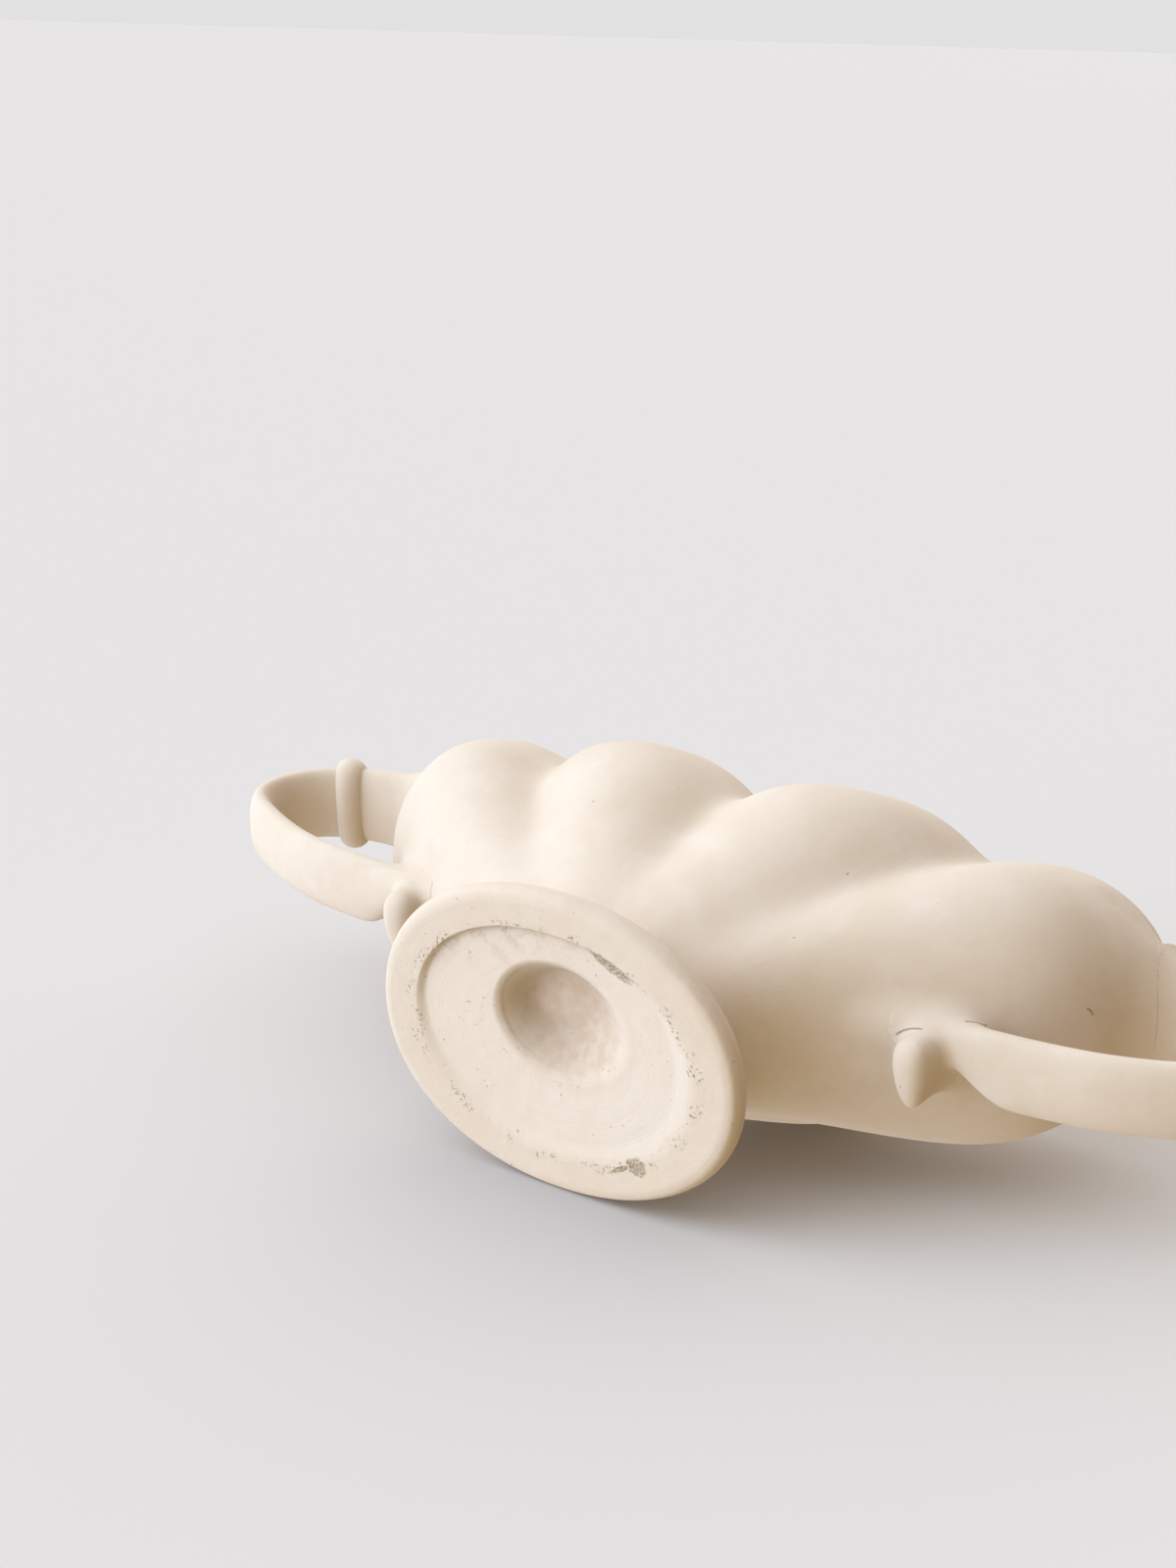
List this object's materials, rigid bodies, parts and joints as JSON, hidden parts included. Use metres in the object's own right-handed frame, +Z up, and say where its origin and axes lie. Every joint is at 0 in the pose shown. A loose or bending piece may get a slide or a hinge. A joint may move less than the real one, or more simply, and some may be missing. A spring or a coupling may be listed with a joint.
{
  "type": "mantle vase",
  "caption": "Wide boat-shaped mantle vase in unglazed earthenware, with a deeply lobed bowl on an oval pedestal foot and collared strap handles at the ends.",
  "frame": {"origin": "under the middle of the foot, in the plane of its standing ring", "axes": "+Z up through the mouth, +X from the middle towards the right handle, +Y towards the back broad side"},
  "size_m": [0.4682, 0.1308, 0.1522],
  "materials": {
    "earthenware": "unglazed, matt, cream, sponged smooth",
    "luting_slip": "fired clay slip in the joints, matt"
  },
  "bodies": {
    "root": {"body": "earthenware", "foot": "earthenware", "foot_slip": "luting_slip", "left_handle": "earthenware", "left_collar": "earthenware", "left_upper_slip": "luting_slip", "left_lower_slip": "luting_slip", "right_handle": "earthenware", "right_collar": "earthenware", "right_upper_slip": "luting_slip", "right_lower_slip": "luting_slip"}
  },
  "joints": []
}
